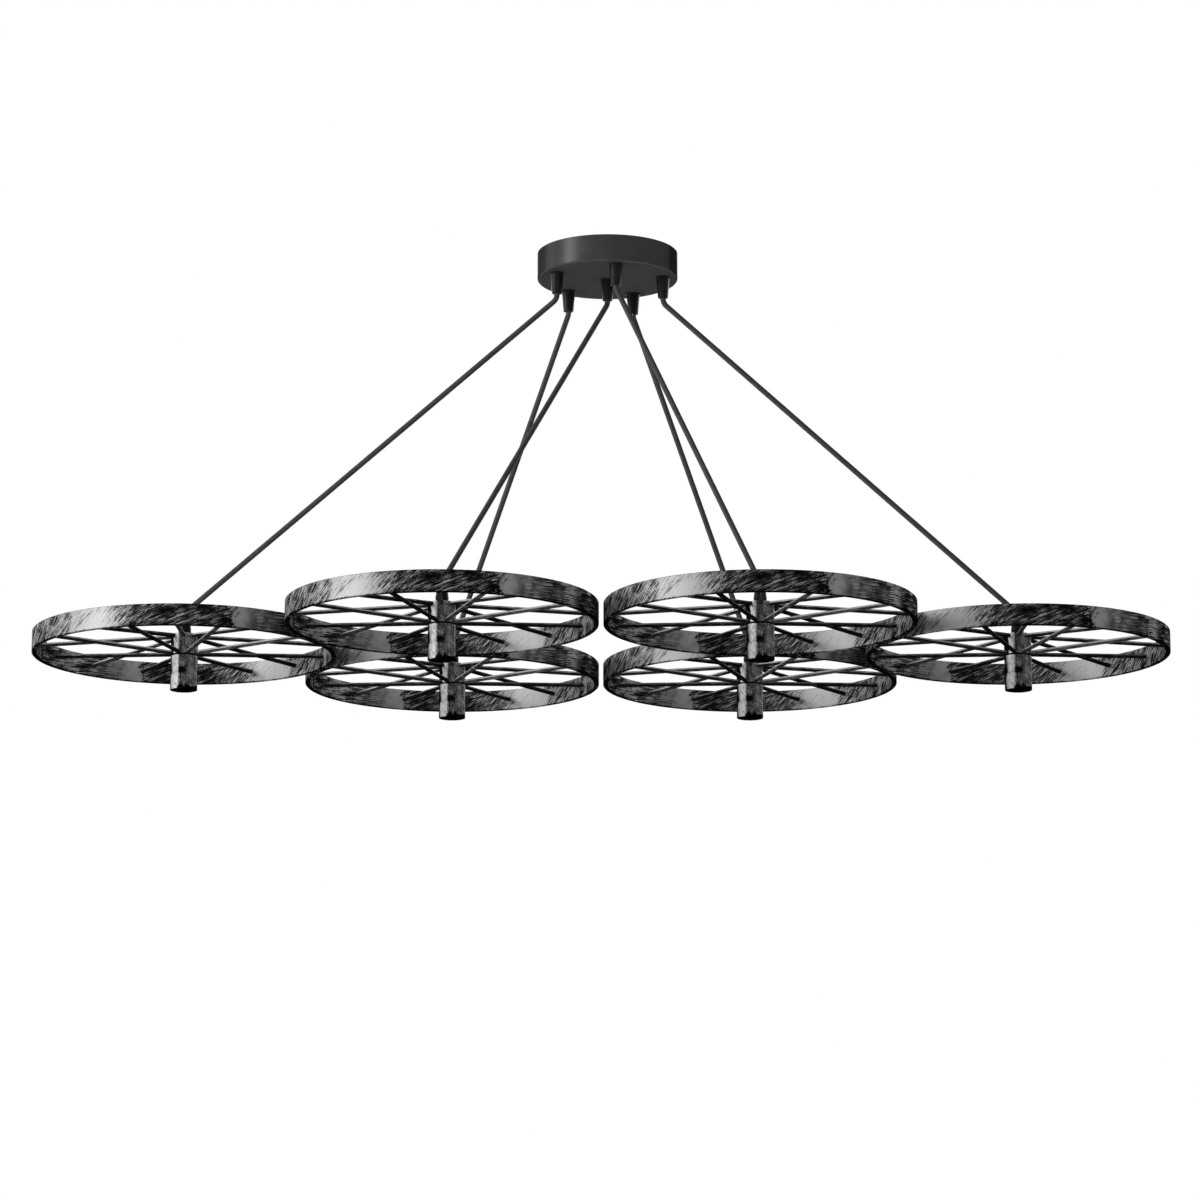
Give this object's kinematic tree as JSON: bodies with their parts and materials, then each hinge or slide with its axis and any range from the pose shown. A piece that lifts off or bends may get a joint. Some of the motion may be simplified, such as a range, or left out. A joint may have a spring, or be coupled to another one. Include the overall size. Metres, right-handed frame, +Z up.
{
  "type": "wagon wheel chandelier",
  "caption": "Chandelier of iron wagon wheels in a close level cluster, each with a lamp cup under its hub and hung by its own slanting cord from a round ceiling canopy.",
  "frame": {"origin": "centre of the ceiling face, between the two ceiling screw holes", "axes": "+Z up into the ceiling, +X along the long row of wheels to the right, -Y to the front"},
  "size_m": [1.5926, 0.8502, 0.634],
  "materials": {
    "brushed_iron": "black with brushed silver strokes",
    "canopy_paint": "satin black",
    "zinc_steel": "zinc plated",
    "black_screws": "black",
    "grip_plastic": "glossy black",
    "cord_cover": "smooth black cover",
    "lead_cover": "smooth black cover",
    "socket_plastic": "moulded black",
    "contact_brass": "bright",
    "terminal_plastic": "moulded"
  },
  "bodies": {
    "canopy": {"canopy_shell": "canopy_paint", "ceiling_bracket": "zinc_steel", "side_screws": "black_screws", "grip_locknuts": "zinc_steel", "terminal_block": "terminal_plastic", "lamp_leads": "lead_cover", "canopy_grip_left": "grip_plastic", "canopy_grip_right": "grip_plastic", "canopy_grip_front_left": "grip_plastic", "canopy_grip_front_right": "grip_plastic", "canopy_grip_back_left": "grip_plastic", "canopy_grip_back_right": "grip_plastic"},
    "cord_left": {"cord_left": "cord_cover"},
    "hub_grip_left": {"hub_grip_left": "grip_plastic"},
    "wheel_left": {"rim_left": "brushed_iron", "spokes_left": "brushed_iron", "hub_left": "brushed_iron", "lamp_cup_left": "brushed_iron", "lamp_socket_left": "socket_plastic", "socket_contacts_left": "contact_brass"},
    "cord_right": {"cord_right": "cord_cover"},
    "hub_grip_right": {"hub_grip_right": "grip_plastic"},
    "wheel_right": {"rim_right": "brushed_iron", "spokes_right": "brushed_iron", "hub_right": "brushed_iron", "lamp_cup_right": "brushed_iron", "lamp_socket_right": "socket_plastic", "socket_contacts_right": "contact_brass"},
    "cord_front_left": {"cord_front_left": "cord_cover"},
    "hub_grip_front_left": {"hub_grip_front_left": "grip_plastic"},
    "wheel_front_left": {"rim_front_left": "brushed_iron", "spokes_front_left": "brushed_iron", "hub_front_left": "brushed_iron", "lamp_cup_front_left": "brushed_iron", "lamp_socket_front_left": "socket_plastic", "socket_contacts_front_left": "contact_brass"},
    "cord_front_right": {"cord_front_right": "cord_cover"},
    "hub_grip_front_right": {"hub_grip_front_right": "grip_plastic"},
    "wheel_front_right": {"rim_front_right": "brushed_iron", "spokes_front_right": "brushed_iron", "hub_front_right": "brushed_iron", "lamp_cup_front_right": "brushed_iron", "lamp_socket_front_right": "socket_plastic", "socket_contacts_front_right": "contact_brass"},
    "cord_back_left": {"cord_back_left": "cord_cover"},
    "hub_grip_back_left": {"hub_grip_back_left": "grip_plastic"},
    "wheel_back_left": {"rim_back_left": "brushed_iron", "spokes_back_left": "brushed_iron", "hub_back_left": "brushed_iron", "lamp_cup_back_left": "brushed_iron", "lamp_socket_back_left": "socket_plastic", "socket_contacts_back_left": "contact_brass"},
    "cord_back_right": {"cord_back_right": "cord_cover"},
    "hub_grip_back_right": {"hub_grip_back_right": "grip_plastic"},
    "wheel_back_right": {"rim_back_right": "brushed_iron", "spokes_back_right": "brushed_iron", "hub_back_right": "brushed_iron", "lamp_cup_back_right": "brushed_iron", "lamp_socket_back_right": "socket_plastic", "socket_contacts_back_right": "contact_brass"}
  },
  "joints": [
    {"name": "swing_left", "type": "hinge", "parent": "canopy", "child": "cord_left", "pos_m": [-0.07166, -0.03557, -0.0635], "axis": [0, 1, 0], "range_deg": [0, 15]},
    {"name": "level_left", "type": "hinge", "parent": "cord_left", "child": "hub_grip_left", "pos_m": [-0.59302, 0, -0.536], "axis": [0, 1, 0], "range_deg": [-15, 0]},
    {"name": "turn_left", "type": "hinge", "parent": "hub_grip_left", "child": "wheel_left", "pos_m": [-0.59302, 0, -0.57], "axis": [0, 0, 1], "range_deg": [-20, 20]},
    {"name": "swing_right", "type": "hinge", "parent": "canopy", "child": "cord_right", "pos_m": [0.07888, -0.01334, -0.0635], "axis": [0, -1, 0], "range_deg": [0, 15]},
    {"name": "level_right", "type": "hinge", "parent": "cord_right", "child": "hub_grip_right", "pos_m": [0.57462, 0, -0.536], "axis": [0, -1, 0], "range_deg": [-15, 0]},
    {"name": "turn_right", "type": "hinge", "parent": "hub_grip_right", "child": "wheel_right", "pos_m": [0.57462, 0, -0.57], "axis": [0, 0, 1], "range_deg": [-20, 20]},
    {"name": "swing_front_left", "type": "hinge", "parent": "canopy", "child": "cord_front_left", "pos_m": [0, 0, -0.0635], "axis": [-1, 0, 0], "range_deg": [0, 15]},
    {"name": "level_front_left", "type": "hinge", "parent": "cord_front_left", "child": "hub_grip_front_left", "pos_m": [-0.2247, -0.21265, -0.536], "axis": [-1, 0, 0], "range_deg": [-15, 0]},
    {"name": "turn_front_left", "type": "hinge", "parent": "hub_grip_front_left", "child": "wheel_front_left", "pos_m": [-0.2247, -0.21265, -0.57], "axis": [0, 0, 1], "range_deg": [-20, 20]},
    {"name": "swing_front_right", "type": "hinge", "parent": "canopy", "child": "cord_front_right", "pos_m": [0.01169, -0.07914, -0.0635], "axis": [-1, 0, 0], "range_deg": [0, 15]},
    {"name": "level_front_right", "type": "hinge", "parent": "cord_front_right", "child": "hub_grip_front_right", "pos_m": [0.2063, -0.21265, -0.536], "axis": [-1, 0, 0], "range_deg": [-15, 0]},
    {"name": "turn_front_right", "type": "hinge", "parent": "hub_grip_front_right", "child": "wheel_front_right", "pos_m": [0.2063, -0.21265, -0.57], "axis": [0, 0, 1], "range_deg": [-20, 20]},
    {"name": "swing_back_left", "type": "hinge", "parent": "canopy", "child": "cord_back_left", "pos_m": [-0.05597, 0.05716, -0.0635], "axis": [1, 0, 0], "range_deg": [0, 15]},
    {"name": "level_back_left", "type": "hinge", "parent": "cord_back_left", "child": "hub_grip_back_left", "pos_m": [-0.2247, 0.21265, -0.536], "axis": [1, 0, 0], "range_deg": [-15, 0]},
    {"name": "turn_back_left", "type": "hinge", "parent": "hub_grip_back_left", "child": "wheel_back_left", "pos_m": [-0.2247, 0.21265, -0.57], "axis": [0, 0, 1], "range_deg": [-20, 20]},
    {"name": "swing_back_right", "type": "hinge", "parent": "canopy", "child": "cord_back_right", "pos_m": [0.03706, 0.0709, -0.0635], "axis": [1, 0, 0], "range_deg": [0, 15]},
    {"name": "level_back_right", "type": "hinge", "parent": "cord_back_right", "child": "hub_grip_back_right", "pos_m": [0.2063, 0.21265, -0.536], "axis": [1, 0, 0], "range_deg": [-15, 0]},
    {"name": "turn_back_right", "type": "hinge", "parent": "hub_grip_back_right", "child": "wheel_back_right", "pos_m": [0.2063, 0.21265, -0.57], "axis": [0, 0, 1], "range_deg": [-20, 20]}
  ],
  "couplings": [
    {"joint": "level_left", "follows": "swing_left", "ratio": -1},
    {"joint": "level_right", "follows": "swing_right", "ratio": -1},
    {"joint": "level_front_left", "follows": "swing_front_left", "ratio": -1},
    {"joint": "level_front_right", "follows": "swing_front_right", "ratio": -1},
    {"joint": "level_back_left", "follows": "swing_back_left", "ratio": -1},
    {"joint": "level_back_right", "follows": "swing_back_right", "ratio": -1}
  ]
}
